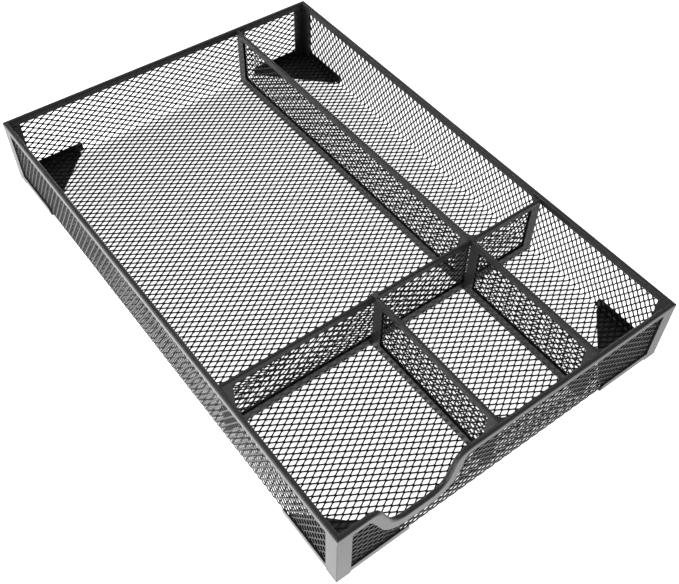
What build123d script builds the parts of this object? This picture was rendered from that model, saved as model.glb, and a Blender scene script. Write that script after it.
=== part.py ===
from build123d import *

import math
import os

# Desk organizer: a shallow steel-mesh drawer tray.  One sheet of expanded steel is folded into a
# floor and four upright walls.  A channel rail caps the walls, angle posts cover the upright
# corners, and a triangular foot plate sits under each bottom corner.  Four framed mesh dividers
# make five compartments, and the front wall dips in a finger scoop at its left end.
#
# Millimetres.  +X runs along the front wall to the right, +Y from the front wall to the back wall,
# +Z up.  The origin is the centre of the footprint, on the surface that the tray stands on.

# ---- overall size ----
TRAY_WIDTH = 252.0
TRAY_DEPTH = 382.0
TRAY_HEIGHT = 50.0

# ---- rail that caps the walls: a channel with its opening down ----
RIM_WIDTH = 3.4
RIM_SHEET = 0.6
RIM_OUTER_FLANGE = 4.9
RIM_INNER_FLANGE = 5.8
RIM_EDGE_RADIUS = 1.6
RIM_WEB = 1.0

# ---- finger scoop in the front rail, seen from the front; distances from the tray's left face ----
SCOOP_LEFT_TOP = 26.8
SCOOP_RIGHT_TOP = 80.2
SCOOP_FLOOR_Z = 22.8
SCOOP_LEFT_SLOPE = 66.0
SCOOP_RIGHT_SLOPE = 75.0
SCOOP_LEFT_RADII = (9.0, 14.0)
SCOOP_RIGHT_RADII = (13.0, 11.0)
SCOOP_BAND_SIDE = 6.9
SCOOP_BAND_FLOOR = 7.6
TIGHTEST_RADIUS = 1.5

# ---- mesh, as a plain sheet of the mesh's own envelope ----
MESH_SHEET = 1.2
MESH_INSET = 0.9
MESH_TOP_COVER = 1.6
MESH_BEND_RADIUS = 2.6

# ---- corner posts outside, corner strips inside ----
POST_LEG = 9.6
POST_SHEET = 0.8
POST_CORNER_RADIUS = 0.5
POST_EAR_RADIUS = 1.6
STRIP_LEG = 8.5
STRIP_SHEET = 0.6

# ---- foot plates ----
FOOT_LEG = 50.0
FOOT_SHEET = 0.8
FOOT_FLANGE = 6.5
FOOT_TIP_RADIUS = 2.5
FOOT_BEND_RADIUS = 2.0

# ---- dividers ----
DIVIDER_THICKNESS = 2.4
DIVIDER_SHEET = 0.5
DIVIDER_TOP_Z = 49.0
DIVIDER_TOP_RAIL = 5.0
DIVIDER_BOTTOM_RAIL = 7.0
DIVIDER_STILE = 7.5
DIVIDER_EDGE_RADIUS = 1.1
DIVIDER_MESH_SHEET = 1.2
DIVIDER_MESH_COVER = 1.2
LONG_DIVIDER_X = 62.4
SHORT_DIVIDER_X = -14.6
CROSS_DIVIDER_Y = -79.0

# ---- concave gussets that tie the divider tops to the rail and to each other ----
GUSSET_SIZE = 4.5
GUSSET_RADIUS = 3.8
GUSSET_DEPTH = 4.6

# ---- hooks over the cross divider ----
HOOK_WIDE = 5.0
HOOK_NARROW = 2.0
HOOK_TAIL = 1.5
HOOK_DROP = 4.0

GAP = 0.05
OVERSHOOT = 1.0
SAME_POINT = 1e-6
HALF_WIDTH = TRAY_WIDTH / 2
HALF_DEPTH = TRAY_DEPTH / 2
FLOOR_BOTTOM = FOOT_SHEET
FLOOR_TOP = FLOOR_BOTTOM + MESH_SHEET
RIM_INSIDE_X = HALF_WIDTH - RIM_WIDTH
RIM_INSIDE_Y = HALF_DEPTH - RIM_WIDTH


def rounded_face(corners):
    """Face on the XZ plane from (x, z, radius) corners, each rounded by a tangent arc."""
    count = len(corners)
    starts = []
    ends = []
    middles = []
    for i, (x, z, radius) in enumerate(corners):
        here = Vector(x, 0, z)
        before = Vector(corners[i - 1][0], 0, corners[i - 1][1]) - here
        after = Vector(corners[(i + 1) % count][0], 0, corners[(i + 1) % count][1]) - here
        half_angle = math.radians(before.get_angle(after)) / 2
        if radius == 0:
            starts.append(here)
            ends.append(here)
            middles.append(None)
            continue
        reach = radius / math.tan(half_angle)
        bisector = (before.normalized() + after.normalized()).normalized()
        starts.append(here + before.normalized() * reach)
        ends.append(here + after.normalized() * reach)
        middles.append(here + bisector * (radius / math.sin(half_angle) - radius))
    edges = []
    for i in range(count):
        if middles[i] is not None:
            edges.append(ThreePointArc(starts[i], middles[i], ends[i]))
        following = starts[(i + 1) % count]
        if (following - ends[i]).length > SAME_POINT:
            edges.append(Line(ends[i], following))
    return make_face(edges)


def prism(face, y_from, y_to):
    """Face on the XZ plane, pushed from y_from to y_to."""
    return Pos(0, y_from, 0) * extrude(face, amount=y_to - y_from, dir=(0, 1, 0))


def block(x_range, y_range, z_range):
    """Box between pairs of limits."""
    size = [high - low for low, high in (x_range, y_range, z_range)]
    centre = [(high + low) / 2 for low, high in (x_range, y_range, z_range)]
    return Pos(*centre) * Box(*size)


def edge_near(solid, point):
    """The edge of a solid that passes closest to a point."""
    return min(solid.edges(), key=lambda edge: edge.distance_to(Vector(*point)))


# ---- rim rails ----

def scoop_corners(top_z, side_shift, floor_shift):
    """Corners of the scoop's edge line, moved side_shift and floor_shift into the wall."""
    left = math.radians(SCOOP_LEFT_SLOPE)
    right = math.radians(SCOOP_RIGHT_SLOPE)
    floor_z = SCOOP_FLOOR_Z - floor_shift
    left_x = SCOOP_LEFT_TOP - HALF_WIDTH - side_shift / math.sin(left)
    right_x = SCOOP_RIGHT_TOP - HALF_WIDTH + side_shift / math.sin(right)
    left_crest, left_hollow = SCOOP_LEFT_RADII
    right_hollow, right_crest = SCOOP_RIGHT_RADII
    return [
        (left_x + (TRAY_HEIGHT - top_z) / math.tan(left), top_z,
         max(left_crest - side_shift, TIGHTEST_RADIUS)),
        (left_x + (TRAY_HEIGHT - floor_z) / math.tan(left), floor_z, left_hollow + side_shift),
        (right_x - (TRAY_HEIGHT - floor_z) / math.tan(right), floor_z, right_hollow + side_shift),
        (right_x - (TRAY_HEIGHT - top_z) / math.tan(right), top_z,
         max(right_crest - side_shift, TIGHTEST_RADIUS)),
    ]


def edge_line(half_length, top_z, side_shift, floor_shift, scooped):
    """The rail's edge line from left to right, straight or with the scoop."""
    middle = scoop_corners(top_z, side_shift, floor_shift) if scooped else []
    return [(-half_length, top_z, 0), *middle, (half_length, top_z, 0)]


def rim_rail(length, scooped=False):
    """Channel rail along X with mitred ends; its outer face is y = 0 and +Y is inward."""
    reach = length / 2 + RIM_WIDTH
    below = [(reach, 0, 0), (-reach, 0, 0)]
    crest = edge_line(reach, TRAY_HEIGHT, 0, 0, scooped)
    outer_foot = edge_line(
        reach, TRAY_HEIGHT - RIM_OUTER_FLANGE, SCOOP_BAND_SIDE, SCOOP_BAND_FLOOR, scooped)
    inner_foot = edge_line(
        reach, TRAY_HEIGHT - RIM_INNER_FLANGE, RIM_INNER_FLANGE, RIM_INNER_FLANGE, scooped)
    web_underside = edge_line(reach, TRAY_HEIGHT - RIM_WEB, RIM_WEB, RIM_WEB, scooped)

    rail = prism(rounded_face(crest + outer_foot[::-1]), 0, RIM_WIDTH)
    long_edges = [edge_near(rail, (-length / 2, y, TRAY_HEIGHT)) for y in (0, RIM_WIDTH)]
    rail = fillet(long_edges, RIM_EDGE_RADIUS)
    rail -= prism(rounded_face(web_underside + below), RIM_SHEET, RIM_WIDTH - RIM_SHEET)
    rail -= prism(
        rounded_face(inner_foot + below), RIM_WIDTH - RIM_SHEET - GAP, RIM_WIDTH + OVERSHOOT)
    mitre_plan = Polygon(
        (-length / 2, 0), (length / 2, 0),
        (length / 2 - RIM_WIDTH, RIM_WIDTH), (-length / 2 + RIM_WIDTH, RIM_WIDTH), align=None)
    return rail & extrude(mitre_plan, amount=TRAY_HEIGHT + OVERSHOOT)


def rim_rails():
    """Four rails, mitred together at the corners of the tray."""
    return {
        "rim_front": Pos(0, -HALF_DEPTH, 0) * rim_rail(TRAY_WIDTH, scooped=True),
        "rim_back": Pos(0, HALF_DEPTH, 0) * Rot(0, 0, 180) * rim_rail(TRAY_WIDTH),
        "rim_left": Pos(-HALF_WIDTH, 0, 0) * Rot(0, 0, -90) * rim_rail(TRAY_DEPTH),
        "rim_right": Pos(HALF_WIDTH, 0, 0) * Rot(0, 0, 90) * rim_rail(TRAY_DEPTH),
    }


# ---- folded mesh sheet ----

def mesh_basket():
    """Floor and four walls as one folded sheet, cut down under the finger scoop."""
    x_outer = HALF_WIDTH - MESH_INSET
    y_outer = HALF_DEPTH - MESH_INSET
    top_z = TRAY_HEIGHT - MESH_TOP_COVER
    shell = block((-x_outer, x_outer), (-y_outer, y_outer), (FLOOR_BOTTOM, top_z))
    shell = fillet(shell.edges().group_by(Axis.Z)[0], MESH_BEND_RADIUS)
    hollow = block(
        (-x_outer + MESH_SHEET, x_outer - MESH_SHEET),
        (-y_outer + MESH_SHEET, y_outer - MESH_SHEET),
        (FLOOR_TOP, TRAY_HEIGHT))
    hollow = fillet(hollow.edges().group_by(Axis.Z)[0], MESH_BEND_RADIUS - MESH_SHEET)
    cut_line = edge_line(HALF_WIDTH, top_z, MESH_TOP_COVER, MESH_TOP_COVER, True)
    above = [(HALF_WIDTH, TRAY_HEIGHT, 0), (-HALF_WIDTH, TRAY_HEIGHT, 0)]
    notch = prism(rounded_face(cut_line + above), -HALF_DEPTH, -HALF_DEPTH + RIM_WIDTH)
    return shell - hollow - notch


# ---- corners: each piece is made for the front-left corner and mirrored to the others ----

def both_legs(along_x):
    """The leg that runs along +X from a corner at the origin, with its twin along +Y."""
    return along_x + mirror(Rot(0, 0, -90) * along_x, about=Plane.XZ)


def corner_post():
    """Outer angle post that flares into the rail's lower edge with a small round."""
    top_z = TRAY_HEIGHT - RIM_OUTER_FLANGE - GAP
    leg_face = rounded_face([
        (0, 0, 0), (POST_LEG, 0, 0), (POST_LEG, top_z, POST_EAR_RADIUS),
        (POST_LEG + POST_EAR_RADIUS, top_z, 0), (0, top_z, 0)])
    post = both_legs(prism(leg_face, 0, POST_SHEET))
    return fillet(edge_near(post, (0, 0, top_z / 2)), POST_CORNER_RADIUS)


def corner_strip():
    """Inner angle strip that covers the mesh where two walls meet."""
    start = MESH_INSET + MESH_SHEET
    low = FLOOR_TOP + MESH_BEND_RADIUS - MESH_SHEET
    high = TRAY_HEIGHT - RIM_INNER_FLANGE - GAP
    leg_face = rounded_face([
        (0, low, 0), (STRIP_LEG, low, 0), (STRIP_LEG, high, 0), (0, high, 0)])
    return Pos(start, start, 0) * both_legs(prism(leg_face, 0, STRIP_SHEET))


def corner_foot():
    """Triangular plate under the floor, with two edges bent up into flanges beside the walls."""
    start = POST_SHEET
    low = POST_LEG + GAP
    plan = Polygon((start, start), (FOOT_LEG, start), (start, FOOT_LEG), align=None)
    tips = plan.vertices().sort_by_distance((start, start))[1:]
    plate = extrude(fillet(tips, FOOT_TIP_RADIUS), amount=FOOT_SHEET)
    plate -= both_legs(block((low, FOOT_LEG), (0, FOOT_BEND_RADIUS), (0, FOOT_SHEET)))
    section = rounded_face([
        (0, 0, FOOT_BEND_RADIUS), (FOOT_BEND_RADIUS, 0, 0), (FOOT_BEND_RADIUS, FOOT_SHEET, 0),
        (FOOT_SHEET, FOOT_SHEET, FOOT_BEND_RADIUS - FOOT_SHEET),
        (FOOT_SHEET, FOOT_FLANGE, 0), (0, FOOT_FLANGE, 0)])
    side_view = rounded_face([
        (low, 0, 0), (FOOT_LEG, 0, 0), (FOOT_LEG, FOOT_FLANGE, FOOT_TIP_RADIUS),
        (low, FOOT_FLANGE, 0)])
    bent_edge = Rot(0, 0, 90) * prism(section, -FOOT_LEG, -low)
    bent_edge &= prism(side_view, 0, FOOT_BEND_RADIUS)
    return plate + both_legs(bent_edge)


def at_corners(name, piece):
    """The piece, made for a corner at the origin, set at the four corners of the tray."""
    front_left = Pos(-HALF_WIDTH, -HALF_DEPTH, 0) * piece
    front_right = mirror(front_left, about=Plane.YZ)
    return {
        f"{name}_front_left": front_left,
        f"{name}_front_right": front_right,
        f"{name}_back_left": mirror(front_left, about=Plane.XZ),
        f"{name}_back_right": mirror(front_right, about=Plane.XZ),
    }


# ---- dividers ----

def divider(name, length):
    """Framed mesh panel along +X from the origin, centred on y = 0, standing on the floor."""
    low = FLOOR_TOP + GAP
    high = DIVIDER_TOP_Z
    half = DIVIDER_THICKNESS / 2
    inner_left = DIVIDER_STILE
    inner_right = length - DIVIDER_STILE
    inner_low = low + DIVIDER_BOTTOM_RAIL
    inner_high = high - DIVIDER_TOP_RAIL
    outlines = {
        "top_rail": [(0, high), (inner_left, inner_high), (inner_right, inner_high), (length, high)],
        "bottom_rail": [(0, low), (inner_left, inner_low), (inner_right, inner_low), (length, low)],
        "stile_a": [(0, low), (inner_left, inner_low), (inner_left, inner_high), (0, high)],
        "stile_b": [
            (length, low), (inner_right, inner_low), (inner_right, inner_high), (length, high)],
    }
    cavity = block(
        (DIVIDER_SHEET, length - DIVIDER_SHEET),
        (-half + DIVIDER_SHEET, half - DIVIDER_SHEET),
        (low + DIVIDER_SHEET, high - DIVIDER_SHEET))
    pieces = {}
    for piece_name, outline in outlines.items():
        member = prism(rounded_face([(x, z, 0) for x, z in outline]), -half, half)
        if piece_name == "top_rail":
            crests = [edge_near(member, (length / 2, y, high)) for y in (-half, half)]
            member = fillet(crests, DIVIDER_EDGE_RADIUS)
        pieces[f"{name}_{piece_name}"] = member - cavity
    pieces[f"{name}_mesh"] = block(
        (DIVIDER_MESH_COVER, length - DIVIDER_MESH_COVER),
        (-DIVIDER_MESH_SHEET / 2, DIVIDER_MESH_SHEET / 2),
        (low + DIVIDER_MESH_COVER, high - DIVIDER_MESH_COVER))
    return pieces


def placed(pieces, location):
    """Every piece of a set, moved by one location."""
    return {name: location * piece for name, piece in pieces.items()}


def dividers():
    """Long and cross dividers and the two short ones in front of the cross divider."""
    half = DIVIDER_THICKNESS / 2
    cross_back = CROSS_DIVIDER_Y + half + GAP
    cross_front = CROSS_DIVIDER_Y - half - GAP
    back_end = RIM_INSIDE_Y - GAP
    front_end = -RIM_INSIDE_Y + GAP
    side_end = RIM_INSIDE_X - GAP
    short_length = cross_front - front_end
    pieces = {}
    pieces |= placed(
        divider("cross_divider", 2 * side_end), Pos(-side_end, CROSS_DIVIDER_Y, 0))
    pieces |= placed(
        divider("long_divider", back_end - cross_back),
        Pos(LONG_DIVIDER_X, cross_back, 0) * Rot(0, 0, 90))
    pieces |= placed(
        divider("right_front_divider", short_length),
        Pos(LONG_DIVIDER_X, front_end, 0) * Rot(0, 0, 90))
    pieces |= placed(
        divider("left_front_divider", short_length),
        Pos(SHORT_DIVIDER_X, front_end, 0) * Rot(0, 0, 90))
    return pieces


def gusset(x, y, x_way, y_way):
    """Concave gusset in the corner at (x, y), reaching x_way and y_way out of it."""
    x_way *= GUSSET_SIZE
    y_way *= GUSSET_SIZE
    scale = GUSSET_RADIUS / GUSSET_SIZE
    nose = 1 - scale
    hollow_middle = 1 - scale * math.sqrt(0.5)
    outline = [
        Line((x, y), (x + x_way, y)),
        Line((x + x_way, y), (x + x_way, y + y_way * nose)),
        ThreePointArc(
            (x + x_way, y + y_way * nose),
            (x + x_way * hollow_middle, y + y_way * hollow_middle),
            (x + x_way * nose, y + y_way)),
        Line((x + x_way * nose, y + y_way), (x, y + y_way)),
        Line((x, y + y_way), (x, y)),
    ]
    prism_up = extrude(make_face(outline), amount=GUSSET_DEPTH, dir=(0, 0, 1))
    return Pos(0, 0, DIVIDER_TOP_Z - DIVIDER_EDGE_RADIUS - GUSSET_DEPTH) * prism_up


def gussets():
    """Gussets on the side of each top rail's end that faces away from the tray's front left."""
    half = DIVIDER_THICKNESS / 2 + GAP
    long_side = LONG_DIVIDER_X + half
    short_side = SHORT_DIVIDER_X + half
    cross_side = CROSS_DIVIDER_Y + half
    return Compound(children=[
        gusset(long_side, RIM_INSIDE_Y - GAP, 1, -1),
        gusset(long_side, -RIM_INSIDE_Y + GAP, 1, 1),
        gusset(short_side, -RIM_INSIDE_Y + GAP, 1, 1),
        gusset(RIM_INSIDE_X - GAP, cross_side, -1, 1),
        gusset(long_side, cross_side, 1, 1),
    ])


def divider_hooks():
    """Plates that hold the front dividers' tops to the cross divider; the left one hooks over it."""
    front_y = CROSS_DIVIDER_Y - DIVIDER_THICKNESS / 2
    back_y = CROSS_DIVIDER_Y + DIVIDER_THICKNESS / 2 + GAP
    top_z = DIVIDER_TOP_Z + GAP + DIVIDER_SHEET
    hooks = []
    for x in (SHORT_DIVIDER_X, LONG_DIVIDER_X):
        plan = Polygon(
            (x - HOOK_NARROW / 2, front_y - HOOK_TAIL), (x + HOOK_NARROW / 2, front_y - HOOK_TAIL),
            (x + HOOK_WIDE / 2, back_y + DIVIDER_SHEET), (x - HOOK_WIDE / 2, back_y + DIVIDER_SHEET),
            align=None)
        hook = Pos(0, 0, DIVIDER_TOP_Z + GAP) * extrude(plan, amount=DIVIDER_SHEET)
        if x == SHORT_DIVIDER_X:
            hook += block(
                (x - HOOK_WIDE / 2, x + HOOK_WIDE / 2),
                (back_y, back_y + DIVIDER_SHEET),
                (top_z - HOOK_DROP, top_z))
        hooks.append(hook)
    return Compound(children=hooks)


def main():
    """Build every piece and write one STEP file per node."""
    nodes = {"mesh_basket": mesh_basket()}
    nodes |= rim_rails()
    nodes |= at_corners("post", corner_post())
    nodes |= at_corners("strip", corner_strip())
    nodes |= at_corners("foot", corner_foot())
    nodes |= dividers()
    nodes["divider_gussets"] = gussets()
    nodes["divider_hooks"] = divider_hooks()
    os.makedirs("parts", exist_ok=True)
    for name, shape in nodes.items():
        export_step(shape, f"parts/{name}.step")


main()
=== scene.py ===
# %% [markdown]
# # A mesh drawer organizer
# The object is a shallow desk tray.  One sheet of expanded steel mesh is folded into a floor
# and four walls, a channel rail caps the walls, and four framed mesh dividers share out the
# inside.  Everything has a satin black powder coat.  The lesson goes from the camera to the
# finish, then to the mesh itself, and ends with the paper, the lamps and the air around it.

import math

import bmesh
import bpy
from mathutils import Matrix, Vector


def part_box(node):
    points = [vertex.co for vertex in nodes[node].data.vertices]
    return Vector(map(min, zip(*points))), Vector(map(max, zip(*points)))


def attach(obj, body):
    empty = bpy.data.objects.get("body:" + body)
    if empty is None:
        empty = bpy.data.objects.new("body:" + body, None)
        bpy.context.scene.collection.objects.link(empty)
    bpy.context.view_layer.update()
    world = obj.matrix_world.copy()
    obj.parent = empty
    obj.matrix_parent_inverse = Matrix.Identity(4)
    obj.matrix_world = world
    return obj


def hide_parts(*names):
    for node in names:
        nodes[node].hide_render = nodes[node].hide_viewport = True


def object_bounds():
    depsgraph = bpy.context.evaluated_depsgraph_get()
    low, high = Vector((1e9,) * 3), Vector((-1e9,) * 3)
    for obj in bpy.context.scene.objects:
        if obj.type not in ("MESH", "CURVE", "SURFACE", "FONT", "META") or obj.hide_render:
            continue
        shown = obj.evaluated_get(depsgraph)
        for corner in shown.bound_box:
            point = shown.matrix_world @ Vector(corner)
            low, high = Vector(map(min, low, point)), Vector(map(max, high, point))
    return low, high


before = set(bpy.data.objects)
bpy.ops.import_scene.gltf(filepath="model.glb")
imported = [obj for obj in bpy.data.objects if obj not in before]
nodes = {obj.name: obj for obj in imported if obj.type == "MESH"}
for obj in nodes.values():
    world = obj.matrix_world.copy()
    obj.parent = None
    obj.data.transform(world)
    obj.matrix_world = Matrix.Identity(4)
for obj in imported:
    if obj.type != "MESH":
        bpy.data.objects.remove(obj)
cad_low, cad_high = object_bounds()
MM = 0.001
print("CAD nodes:", len(nodes), "box:", [round(x, 4) for x in (*cad_low, *cad_high)])

# %% [markdown]
# ## Camera
# The camera stands in front of the tray, to its left and well above it, and leans by a few
# degrees.  Its place comes from the tray's own box: so far from the middle of the footprint,
# along the direction that two angles give.  The same angles and the lean give the camera's axes,
# and a matrix whose columns are those axes puts the camera in place in one go.

# %% Place the camera
CAMERA_AZIMUTH = math.radians(-39.885)
CAMERA_ELEVATION = math.radians(51.220)
CAMERA_ROLL = math.radians(2.806)
CAMERA_SIDEWAYS = 30.575 * MM
CAMERA_UPWARDS = -31.828 * MM
CAMERA_DISTANCE = 637.72 * MM
CAMERA_LENS = 49.776
CAMERA_SHIFT = (-0.0329, 0.0198)
SENSOR_WIDTH = 36.0
NEAREST_SEEN = 10 * MM

toward_camera = Vector((
    math.sin(CAMERA_AZIMUTH) * math.cos(CAMERA_ELEVATION),
    -math.cos(CAMERA_AZIMUTH) * math.cos(CAMERA_ELEVATION),
    math.sin(CAMERA_ELEVATION),
))
level_right = Vector((math.cos(CAMERA_AZIMUTH), math.sin(CAMERA_AZIMUTH), 0))
lean = Matrix.Rotation(CAMERA_ROLL, 3, toward_camera)
camera_right = lean @ level_right
camera_up = lean @ toward_camera.cross(level_right)
footprint_middle = Vector(((cad_low.x + cad_high.x) / 2, (cad_low.y + cad_high.y) / 2, cad_low.z))
camera_place = (
    footprint_middle
    + camera_right * CAMERA_SIDEWAYS
    + camera_up * CAMERA_UPWARDS
    + toward_camera * CAMERA_DISTANCE
)
camera_axes = Matrix((camera_right, camera_up, toward_camera)).transposed().to_4x4()
bpy.ops.object.camera_add()
camera = bpy.context.object
camera.name = "camera"
camera.matrix_world = Matrix.Translation(camera_place) @ camera_axes
camera.data.lens = CAMERA_LENS
camera.data.sensor_width = SENSOR_WIDTH
camera.data.shift_x, camera.data.shift_y = CAMERA_SHIFT
camera.data.clip_start = NEAREST_SEEN
bpy.context.scene.camera = camera
print("camera at", [round(x, 4) for x in camera_place])

# %% [markdown]
# ## Shader helper
# A finish is a tree of nodes.  Writing each node by hand hides the sum it works out, so a small
# class wraps one output socket and turns Python's own signs into Math nodes.  A second class
# holds one material or world and makes any other node from its type, its settings and its
# inputs.  The Mix node is special: it has sockets of the same name for numbers, vectors and
# colours, so its colour sockets are found by their number.

# %% Sockets that do sums
MIX_FIRST_COLOUR = 6
MIX_SECOND_COLOUR = 7
MIX_RESULT_COLOUR = 2


def grey(level):
    return (level, level, level, 1)


class Value:
    """One output of a node.  Sums written on it add Math nodes to the same material."""

    def __init__(self, finish, socket):
        self.finish = finish
        self.socket = socket

    def sum_with(self, operation, first, second):
        return self.finish.node(
            "ShaderNodeMath", {"operation": operation}, {0: first, 1: second}
        ).out("Value")

    def __add__(self, other):
        return self.sum_with("ADD", self, other)

    def __radd__(self, other):
        return self.sum_with("ADD", other, self)

    def __sub__(self, other):
        return self.sum_with("SUBTRACT", self, other)

    def __rsub__(self, other):
        return self.sum_with("SUBTRACT", other, self)

    def __mul__(self, other):
        return self.sum_with("MULTIPLY", self, other)

    def __rmul__(self, other):
        return self.sum_with("MULTIPLY", other, self)

    def __truediv__(self, other):
        return self.sum_with("DIVIDE", self, other)

    def __rtruediv__(self, other):
        return self.sum_with("DIVIDE", other, self)

    def __pow__(self, other):
        return self.sum_with("POWER", self, other)


class Made:
    """A node that has just been made; out() gives one of its outputs."""

    def __init__(self, finish, node):
        self.finish = finish
        self.node = node

    def out(self, name):
        return Value(self.finish, self.node.outputs[name])


class Finish:
    """One material or world under construction."""

    def __init__(self, owner):
        owner.use_nodes = True
        self.owner = owner
        self.tree = owner.node_tree
        self.tree.nodes.clear()

    def node(self, kind, settings=None, inputs=None):
        made = self.tree.nodes.new(kind)
        for name, value in (settings or {}).items():
            setattr(made, name, value)
        for name, value in (inputs or {}).items():
            if isinstance(value, Value):
                self.tree.links.new(value.socket, made.inputs[name])
            else:
                made.inputs[name].default_value = value
        return Made(self, made)

    def end(self, shader, kind="ShaderNodeOutputMaterial"):
        self.node(kind, None, {"Surface": shader})
        return self.owner


# %% [markdown]
# ## Powder coat
# Powder coat is a thick baked skin of plastic.  It flows a little in the oven, so it is smooth
# but never flat, and a fine orange peel covers it.  The bump has two scales of noise, for the
# peel and for the slower waves of the sheet below.  Shade and roughness drift with a wide noise,
# because a coat is never equally glossy all over.  The shader's coat layer stands for the clear
# resin at the surface.  It is sharper than the satin layer below, so it can draw a thin light
# line along a rounded rail.
#
# The mesh gets a darker coat than the frame, one that mirrors less and is just as rough.  The two
# are a lighter and a darker copy of the one powder coat, and the darker one on the mesh is painted
# shade: it keeps the thin strands dark against the bright paper they mirror.  Both were settled by
# trial, by how dark the finished tray looks, and neither is a measured property of a powder coat.

# %% Make the powder coats
PEEL_SIZE = 0.55 * MM
PEEL_HEIGHT = 0.045 * MM
WAVE_SIZE = 14.0 * MM
CLOUD_SIZE = 38.0 * MM
SPECK_SIZE = 0.9 * MM
WAVE_SHARE = 1.6
BUMP_STRENGTH = 0.35
DARKEST_SHADE = 0.82
LIGHTEST_SHADE = 1.22
CLOUD_DRIFT = 0.10
SPECK_DRIFT = 0.06
NOISE_MIDDLE = 0.5
RESIN_IOR = 1.5
SKIN_ROUGHNESS = 0.12


def powder_coat(name, base, roughness, specular, skin):
    coat = Finish(bpy.data.materials.new(name))
    place = coat.node("ShaderNodeTexCoord").out("Object")

    def noise(size, detail):
        return coat.node(
            "ShaderNodeTexNoise",
            {"noise_dimensions": "3D"},
            {"Vector": place, "Scale": 1 / size, "Detail": detail},
        ).out("Fac")

    peel = noise(PEEL_SIZE, detail=2.0)
    waves = noise(WAVE_SIZE, detail=2.0)
    clouds = noise(CLOUD_SIZE, detail=3.0)
    specks = noise(SPECK_SIZE, detail=1.0)
    shade = coat.node(
        "ShaderNodeMix",
        {"data_type": "RGBA"},
        {
            "Factor": clouds,
            MIX_FIRST_COLOUR: grey(base * DARKEST_SHADE),
            MIX_SECOND_COLOUR: grey(base * LIGHTEST_SHADE),
        },
    ).out(MIX_RESULT_COLOUR)
    cloud_gloss = (clouds - NOISE_MIDDLE) * CLOUD_DRIFT
    speck_gloss = (specks - NOISE_MIDDLE) * SPECK_DRIFT
    gloss = roughness + cloud_gloss + speck_gloss
    height = peel + waves * WAVE_SHARE
    bump = coat.node(
        "ShaderNodeBump",
        None,
        {"Height": height, "Strength": BUMP_STRENGTH, "Distance": PEEL_HEIGHT},
    ).out("Normal")
    shader = coat.node(
        "ShaderNodeBsdfPrincipled",
        None,
        {
            "Base Color": shade,
            "Roughness": gloss,
            "Normal": bump,
            "IOR": RESIN_IOR,
            "Specular IOR Level": specular,
            "Coat Weight": skin,
            "Coat Roughness": SKIN_ROUGHNESS,
        },
    ).out("BSDF")
    return coat.end(shader)


# Two copies of one coat: the darker mesh coat is painted shade on the strands.
frame_coat = powder_coat("frame_coat", base=0.045, roughness=0.4, specular=0.25, skin=0.25)
mesh_coat = powder_coat("mesh_coat", base=0.012, roughness=0.4, specular=0.1, skin=0.2)
for name, node in nodes.items():
    is_mesh = name.endswith("_mesh") or name == "mesh_basket"
    for slot in node.material_slots:
        slot.material = mesh_coat if is_mesh else frame_coat
print("finishes:", [m.name for m in bpy.data.materials])

# %% [markdown]
# ## Expanded mesh
# The mesh is not woven.  A press cuts staggered rows of slits in a thin sheet and pulls it open,
# so the sheet stretches into strands that meet at short bonds, and rolling then flattens it
# almost fully.  What is left of the pull is a slight tilt of each bond, from whose foot one pair
# of strands starts and at whose head another pair ends.  The long way is the length of a diamond
# along the slits, and the short way its height.  A repeat of one bond with two strands covers
# any area, because each strand ends exactly on the side of a neighbouring bond.  It has few
# faces, because a tray needs thousands of copies.  Width, thickness and tilt of the strands, and
# the finer strands of the panels, were settled by trial, by how much light the floor, the walls
# and the panels let through.
#
# Edit mode is driven by small helpers: one selects by place or normal, and the others pass a
# turn or a cut to the operator.  Without a window the rotate operator turns the other way, so
# the helper changes the sign.

# %% Edit mode helpers
RIGHT_ANGLE = 90


def only(thing):
    """Makes one object the selected and active one."""
    bpy.ops.object.select_all(action="DESELECT")
    thing.select_set(True)
    bpy.context.view_layer.objects.active = thing


def edit(thing):
    """Opens an object in edit mode with all of it selected."""
    only(thing)
    bpy.ops.object.mode_set(mode="EDIT")
    bpy.ops.mesh.select_all(action="SELECT")


def leave():
    bpy.ops.object.mode_set(mode="OBJECT")


def pick_faces(thing, wanted):
    """Selects the faces whose middle and normal pass a test."""
    bpy.ops.mesh.select_mode(type="FACE")
    bpy.ops.mesh.select_all(action="DESELECT")
    shape = bmesh.from_edit_mesh(thing.data)
    for face in shape.faces:
        face.select_set(wanted(face.calc_center_median(), face.normal))
    bmesh.update_edit_mesh(thing.data)


def pick_points(thing, wanted):
    """Selects the vertices whose place passes a test."""
    bpy.ops.mesh.select_mode(type="VERT")
    bpy.ops.mesh.select_all(action="DESELECT")
    shape = bmesh.from_edit_mesh(thing.data)
    for point in shape.verts:
        point.select_set(wanted(point.co))
    shape.select_flush_mode()
    bmesh.update_edit_mesh(thing.data)


def turn(degrees, axis, centre=(0, 0, 0)):
    bpy.ops.transform.rotate(
        value=-math.radians(degrees), orient_axis=axis, center_override=centre
    )


def cut_away(place, outwards):
    """Cuts all that is selected by a plane, drops the outer part and closes the cut."""
    bpy.ops.mesh.bisect(plane_co=place, plane_no=outwards, use_fill=True, clear_outer=True)


def triangles(thing):
    return sum(len(face.vertices) - 2 for face in thing.data.polygons)


# %% Model one bond and its two strands
LONG_WAY = 7.13 * MM
SHORT_WAY = 4.77 * MM
BOND_LENGTH = 1.0 * MM
BASKET_STRAND = {"width": 0.9 * MM, "thickness": 0.55 * MM, "tilt": -1.5}
PANEL_STRAND = {"width": 0.68 * MM, "thickness": 0.48 * MM, "tilt": -3.0}
SQUARE_ON = 0.9  # a face looks along an axis when its normal's share of it is above this


def mesh_depth(strand):
    tilt = math.radians(abs(strand["tilt"]))
    return 2 * strand["width"] * math.sin(tilt) + strand["thickness"] * math.cos(tilt)


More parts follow.
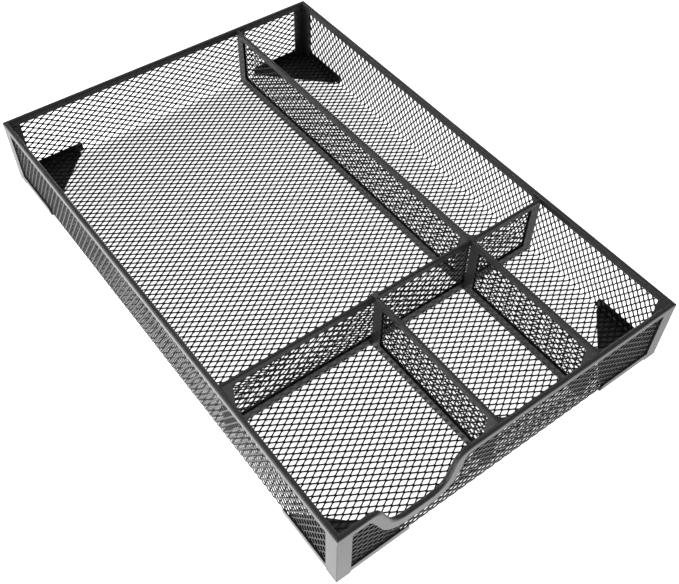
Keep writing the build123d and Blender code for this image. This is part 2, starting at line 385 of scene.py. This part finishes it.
def bond_and_strands(strand):
    width = strand["width"]
    tilt = math.radians(strand["tilt"])
    bpy.ops.object.select_all(action="DESELECT")
    bpy.ops.mesh.primitive_cube_add(size=1)
    unit = bpy.context.object
    edit(unit)
    bpy.ops.transform.resize(
        value=(BOND_LENGTH, 2 * width, strand["thickness"]), center_override=(0, 0, 0)
    )
    bpy.ops.mesh.bisect(plane_co=(0, 0, 0), plane_no=(0, 1, 0))
    bpy.ops.mesh.select_all(action="SELECT")
    turn(strand["tilt"], "X")
    for side in (-1, 1):
        pick_faces(unit, lambda middle, normal: normal.x * side > SQUARE_ON and middle.y > 0)
        climb = (
            side * (LONG_WAY / 2 - BOND_LENGTH),
            SHORT_WAY / 2 - width * math.cos(tilt),
            -width * math.sin(tilt),
        )
        bpy.ops.mesh.extrude_region_move(TRANSFORM_OT_translate={"value": climb})
        bpy.ops.mesh.delete(type="FACE")
        pick_faces(unit, lambda middle, normal: normal.x * side > SQUARE_ON and middle.y < 0)
        bpy.ops.mesh.delete(type="FACE")
    leave()
    return unit


for strand in (BASKET_STRAND, PANEL_STRAND):
    trial = bond_and_strands(strand)
    print("repeat:", triangles(trial), "triangles, depth", round(mesh_depth(strand) / MM, 2), "mm")
    bpy.data.objects.remove(trial)

# %% [markdown]
# ## A sheet of mesh of any size
# Three Array modifiers lay the repeat out: one makes the staggered neighbour, one repeats the
# pair along the long way and one along the short way.  After the strand ends are merged to the
# bonds, the sheet is cut to size, and every cut end is closed.

# %% Lay out a sheet
MERGE_DISTANCE = 0.01 * MM


def repeat(thing, count, step):
    rows = thing.modifiers.new("rows", "ARRAY")
    rows.use_relative_offset = False
    rows.use_constant_offset = True
    rows.constant_offset_displace = step
    rows.count = count
    only(thing)
    bpy.ops.object.modifier_apply(modifier=rows.name)


def mesh_sheet(name, strand, across, along):
    """A flat sheet of mesh between two limits across (X) and two limits along (Y)."""
    first = [math.floor(limits[0] / pitch) - 1
             for limits, pitch in ((across, LONG_WAY), (along, SHORT_WAY))]
    last = [math.ceil(limits[1] / pitch) + 1
            for limits, pitch in ((across, LONG_WAY), (along, SHORT_WAY))]
    sheet = bond_and_strands(strand)
    sheet.name = name
    sheet.data.name = name
    edit(sheet)
    bpy.ops.transform.translate(value=(first[0] * LONG_WAY, first[1] * SHORT_WAY, 0))
    leave()
    repeat(sheet, 2, (LONG_WAY / 2, SHORT_WAY / 2, 0))
    repeat(sheet, last[0] - first[0], (LONG_WAY, 0, 0))
    repeat(sheet, last[1] - first[1], (0, SHORT_WAY, 0))
    edit(sheet)
    bpy.ops.mesh.remove_doubles(threshold=MERGE_DISTANCE)
    for place, outwards in (
        ((across[0], 0, 0), (-1, 0, 0)),
        ((across[1], 0, 0), (1, 0, 0)),
        ((0, along[0], 0), (0, -1, 0)),
        ((0, along[1], 0), (0, 1, 0)),
    ):
        bpy.ops.mesh.select_all(action="SELECT")
        cut_away(place, outwards)
    leave()
    return sheet


def finish_mesh(sheet, *stands_for):
    """Rounds the shading of the coated strands and joins the sheet to the frame."""
    edit(sheet)
    bpy.ops.mesh.normals_make_consistent(inside=False)
    leave()
    bpy.ops.object.shade_smooth()
    sheet.data.materials.append(mesh_coat)
    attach(sheet, "root")
    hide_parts(*stands_for)
    print(sheet.name, triangles(sheet), "triangles")


# %% [markdown]
# ## Floor and walls
# On the real tray the floor and the four walls are one sheet, so the pattern runs on through the
# folds.  Here each wall is a piece of its own, laid out on the same lattice as the floor, so that
# the pattern still runs on.  Its flap is folded up in small turns, the outermost first, which
# leaves a rounded bend along the bottom of the tray.

# %% Fold the basket
basket_low, basket_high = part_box("mesh_basket")
BEND_TURNS = 5
BEND_RADIUS = 2.0 * MM
MESH_DEPTH = mesh_depth(BASKET_STRAND)
WALL_TOP = basket_high.z
HALF_ACROSS = basket_high.x - MESH_DEPTH / 2
HALF_ALONG = basket_high.y - MESH_DEPTH / 2
FLOOR_MIDDLE = basket_low.z + MESH_DEPTH / 2
FLOOR_ACROSS = HALF_ACROSS - BEND_RADIUS
FLOOR_ALONG = HALF_ALONG - BEND_RADIUS
BEND_LENGTH = BEND_RADIUS * math.pi / 2
FLAP = BEND_LENGTH + WALL_TOP - FLOOR_MIDDLE - BEND_RADIUS
WALL_END_GAP = 1.3 * MM
CUT_REACH = 4 * MM  # strands are picked for the cut from this far inside a hinge line
HINGE_SLACK = 0.001 * MM


def lift(thing, height):
    edit(thing)
    bpy.ops.transform.translate(value=(0, 0, height))
    leave()


def fold_up(flap, axis, side, start):
    """Folds a flap up along the bend that starts at a distance from the middle."""
    edit(flap)
    index = "XY".index(axis)
    for step in reversed(range(BEND_TURNS)):
        hinge = start + (step + 0.5) * BEND_LENGTH / BEND_TURNS
        at = [0, 0, 0]
        at[index] = side * hinge
        facing = [0, 0, 0]
        facing[index] = side
        pick_points(flap, lambda point: side * point[index] > hinge - CUT_REACH)
        bpy.ops.mesh.bisect(plane_co=at, plane_no=facing)
        pick_points(flap, lambda point: side * point[index] > hinge + HINGE_SLACK)
        if axis == "X":
            turn(-side * RIGHT_ANGLE / BEND_TURNS, "Y", at)
        else:
            turn(side * RIGHT_ANGLE / BEND_TURNS, "X", at)
    leave()


floor_mesh = mesh_sheet(
    "floor_mesh", BASKET_STRAND, (-FLOOR_ACROSS, FLOOR_ACROSS), (-FLOOR_ALONG, FLOOR_ALONG)
)
walls = {}
for side, name in ((-1, "left"), (1, "right")):
    limits = sorted((side * FLOOR_ACROSS, side * (FLOOR_ACROSS + FLAP)))
    reach = HALF_ALONG - WALL_END_GAP
    walls[name] = mesh_sheet(name + "_wall_mesh", BASKET_STRAND, limits, (-reach, reach))
    fold_up(walls[name], "X", side, FLOOR_ACROSS)
for side, name in ((-1, "front"), (1, "back")):
    limits = sorted((side * FLOOR_ALONG, side * (FLOOR_ALONG + FLAP)))
    reach = HALF_ACROSS - WALL_END_GAP
    walls[name] = mesh_sheet(name + "_wall_mesh", BASKET_STRAND, (-reach, reach), limits)
    fold_up(walls[name], "Y", side, FLOOR_ALONG)
for sheet in (floor_mesh, *walls.values()):
    lift(sheet, FLOOR_MIDDLE)
print("walls:", sorted(walls))

# %% [markdown]
# ## Finger scoop
# The front wall dips to the left of its middle, so that a hand can take the tray out of a drawer.
# A plate in the shape of the dip cuts the mesh with a Boolean, a little below the edge, where
# the rail's band covers the cut ends.

# %% Cut the scoop out of the front wall
SCOOP_OUTLINE = (
    (-101.5, 52.0), (-101.5, 44.5), (-97.0, 40.0), (-92.5, 25.0), (-88.0, 20.5),
    (-56.0, 20.5), (-50.5, 25.0), (-47.5, 38.0), (-43.0, 44.5), (-43.0, 52.0),
)
RIM_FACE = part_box("rim_front")[0].y
CUTTER_START = 2 * MM
CUTTER_DEPTH = 8 * MM


def scoop_cutter():
    bpy.ops.object.select_all(action="DESELECT")
    bpy.ops.mesh.primitive_circle_add(vertices=len(SCOOP_OUTLINE), radius=1, fill_type="NGON")
    plate = bpy.context.object
    for point, (x, z) in zip(plate.data.vertices, reversed(SCOOP_OUTLINE)):
        point.co = (x * MM, RIM_FACE - CUTTER_START, z * MM)
    edit(plate)
    bpy.ops.mesh.extrude_region_move(TRANSFORM_OT_translate={"value": (0, CUTTER_DEPTH, 0)})
    bpy.ops.mesh.select_all(action="SELECT")
    bpy.ops.mesh.normals_make_consistent(inside=False)
    leave()
    return plate


cutter = scoop_cutter()
dip = walls["front"].modifiers.new("dip", "BOOLEAN")
dip.operation = "DIFFERENCE"
dip.solver = "EXACT"
dip.object = cutter
only(walls["front"])
bpy.ops.object.modifier_apply(modifier=dip.name)
bpy.data.objects.remove(cutter)
for sheet in (floor_mesh, *walls.values()):
    finish_mesh(sheet, "mesh_basket")

# %% [markdown]
# ## Divider panels
# Each divider is a flat panel of the same mesh in a steel frame.  The sheet is laid out with its
# corner at the origin, stood up with a quarter turn, and for the dividers that run from front
# to back turned once more.  The CAD node's box says where it goes.

# %% Stand the panels up
def panel(node):
    low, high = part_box(node)
    size = high - low
    runs_along_y = size.y > size.x
    length = size.y if runs_along_y else size.x
    sheet = mesh_sheet(node + "_panel", PANEL_STRAND, (0, length), (0, size.z))
    edit(sheet)
    turn(RIGHT_ANGLE, "X")
    if runs_along_y:
        turn(-RIGHT_ANGLE, "Z")
        place = ((low.x + high.x) / 2, high.y, low.z)
    else:
        place = (low.x, (low.y + high.y) / 2, low.z)
    bpy.ops.transform.translate(value=place)
    leave()
    finish_mesh(sheet, node)


for divider in ("cross_divider", "long_divider", "right_front_divider", "left_front_divider"):
    panel(divider + "_mesh")

# %% [markdown]
# ## Floor, light and air
# The tray stands on white paper that glows, as on a light table, so hardly any shadow shows and
# the sides of the tray mirror a bright floor.  The glow is a painted pool of light: it is
# strongest to the left of the tray and fades outwards.  It is held back where the tray covers the
# paper, a painted shadow under the tray, so that thin strands of mesh aren't drowned by the white
# behind them.  Both are choices of lighting and say nothing about the tray.  A band of paper far
# behind closes the view at low angles, and is kept out of the reflections, because a dark surround
# is what gives the rims their dark tops.

# %% Make the table and the backdrop
TABLE_GLOW = 2.1
PAPER_GLOW = 0.95
GLOW_MIDDLE = (-0.30, -0.05, 0)
GLOW_RADIUS = 0.31
GLOW_UNDER_TRAY = 0.1
GLOW_FALLOFF = 4
BACKDROP_GLOW = PAPER_GLOW + 0.01
SHADED_EDGE = 10 * MM
PAPER_WHITENESS = 0.9
PAPER_ROUGHNESS = 0.9
FIBRES_PER_METRE = 900.0
FIBRE_HEIGHT = 0.05 * MM
FIBRE_STRENGTH = 0.1
FLOOR_SIZE = 8
FLOOR_CELLS = 8
FLOOR_DROP = 0.1 * MM
BACKDROP_SIDES = 96
BACKDROP_RADIUS = 3.9
BACKDROP_HEIGHT = 4
BACKDROP_MIDDLE = 1.9


def paper_finish(name, glow_at_centre):
    paper = Finish(bpy.data.materials.new(name))
    place = paper.node("ShaderNodeTexCoord").out("Object")
    distance = paper.node(
        "ShaderNodeVectorMath", {"operation": "DISTANCE"}, {0: place, 1: GLOW_MIDDLE}
    ).out("Value")
    parts = paper.node("ShaderNodeSeparateXYZ", None, {0: place})

    def clear_of_tray(axis, reach):
        past = paper.node("ShaderNodeMath", {"operation": "ABSOLUTE"}, {0: parts.out(axis)})
        return paper.node(
            "ShaderNodeMath",
            {"operation": "ADD", "use_clamp": True},
            {0: (past.out("Value") - reach) / SHADED_EDGE, 1: 1.0},
        ).out("Value")

    # The pool of light is painted.  open_paper is zero under the tray, where the glow is held back
    # as a painted shadow.
    beside = clear_of_tray("X", cad_high.x)
    before = clear_of_tray("Y", cad_high.y)
    open_paper = beside + before - beside * before
    share = GLOW_UNDER_TRAY + (1 - GLOW_UNDER_TRAY) * open_paper
    falloff = share / (1 + (distance / GLOW_RADIUS) ** GLOW_FALLOFF)
    fibre = paper.node(
        "ShaderNodeTexNoise", None, {"Vector": place, "Scale": FIBRES_PER_METRE, "Detail": 2.0}
    ).out("Fac")
    glow = (PAPER_GLOW + (glow_at_centre - PAPER_GLOW) * falloff) / glow_at_centre
    colour = paper.node(
        "ShaderNodeMix",
        {"data_type": "RGBA"},
        {"Factor": glow, MIX_FIRST_COLOUR: grey(0), MIX_SECOND_COLOUR: grey(1)},
    ).out(MIX_RESULT_COLOUR)
    bump = paper.node(
        "ShaderNodeBump",
        None,
        {"Height": fibre, "Strength": FIBRE_STRENGTH, "Distance": FIBRE_HEIGHT},
    ).out("Normal")
    shader = paper.node(
        "ShaderNodeBsdfPrincipled",
        None,
        {
            "Base Color": grey(PAPER_WHITENESS),
            "Roughness": PAPER_ROUGHNESS,
            "Emission Color": colour,
            "Emission Strength": glow_at_centre,
            "Normal": bump,
        },
    ).out("BSDF")
    return paper.end(shader)


bpy.ops.object.select_all(action="DESELECT")
bpy.ops.mesh.primitive_grid_add(
    x_subdivisions=FLOOR_CELLS,
    y_subdivisions=FLOOR_CELLS,
    size=FLOOR_SIZE,
    location=(0, 0, cad_low.z - FLOOR_DROP),
)
floor = bpy.context.object
floor.name = "studio_floor"
floor.data.materials.append(paper_finish("table_paper", TABLE_GLOW))

bpy.ops.object.select_all(action="DESELECT")
bpy.ops.mesh.primitive_cylinder_add(
    vertices=BACKDROP_SIDES,
    radius=BACKDROP_RADIUS,
    depth=BACKDROP_HEIGHT,
    end_fill_type="NOTHING",
    location=(0, 0, BACKDROP_MIDDLE),
)
backdrop = bpy.context.object
backdrop.name = "studio_backdrop"
backdrop.data.materials.append(paper_finish("backdrop_paper", BACKDROP_GLOW))
backdrop.visible_glossy = False
backdrop.visible_diffuse = False
backdrop.visible_shadow = False
print("stage:", floor.name, backdrop.name)

# %% [markdown]
# ## Strip lights
# Black objects are lit by what they mirror.  Three long, narrow lamps hang low around the back of
# the table, and a rounded top that faces one of them mirrors it as a light line.  A smaller lamp
# hangs higher up, for the crests.

# %% Hang the strip lights
STRIP_HEIGHT = 0.1


def strip_light(name, place, length, power):
    bpy.ops.object.select_all(action="DESELECT")
    bpy.ops.object.light_add(type="AREA", location=place)
    light = bpy.context.object
    light.name = name
    light.data.shape = "RECTANGLE"
    light.data.size, light.data.size_y = length, STRIP_HEIGHT
    light.data.energy = power
    light.rotation_euler = (-Vector(place)).to_track_quat("-Z", "Y").to_euler()
    print(name, "at", place, "power", power)


strip_light("back_left_strip", (-1.5, 0.95, 0.8), length=1.4, power=11.0)
strip_light("back_strip", (0.85, 1.8, 0.75), length=1.4, power=3.5)
strip_light("back_right_strip", (1.7, 1.05, 0.85), length=1.2, power=2.0)
strip_light("overhead_strip", (0.8, 0.96, 1.56), length=0.5, power=1.0)

# %% [markdown]
# ## Air
# The air gives the weak light that comes from everywhere else.  It is nearly black at the horizon
# and grey overhead, so upright faces stay deep and the tops of the rails keep a soft sheen.

# %% Fill the air
AIR_AT_HORIZON = 0.06
AIR_OVERHEAD = 0.42
AIR_TINT = (0.97, 0.99, 1.0, 1)
HORIZON_ENDS = 0.1
OVERHEAD_STARTS = 0.8
air = Finish(bpy.data.worlds.new("air"))
direction = air.node("ShaderNodeTexCoord").out("Generated")
height = air.node("ShaderNodeSeparateXYZ", None, {0: direction}).out("Z")
strength = air.node(
    "ShaderNodeMapRange",
    None,
    {
        "Value": height,
        "From Min": HORIZON_ENDS,
        "From Max": OVERHEAD_STARTS,
        "To Min": AIR_AT_HORIZON,
        "To Max": AIR_OVERHEAD,
    },
).out("Result")
sky = air.node(
    "ShaderNodeBackground", None, {"Color": AIR_TINT, "Strength": strength}
).out("Background")
bpy.context.scene.world = air.end(sky, "ShaderNodeOutputWorld")
bpy.context.scene.view_settings.view_transform = "Standard"
print("air from", AIR_AT_HORIZON, "to", AIR_OVERHEAD)
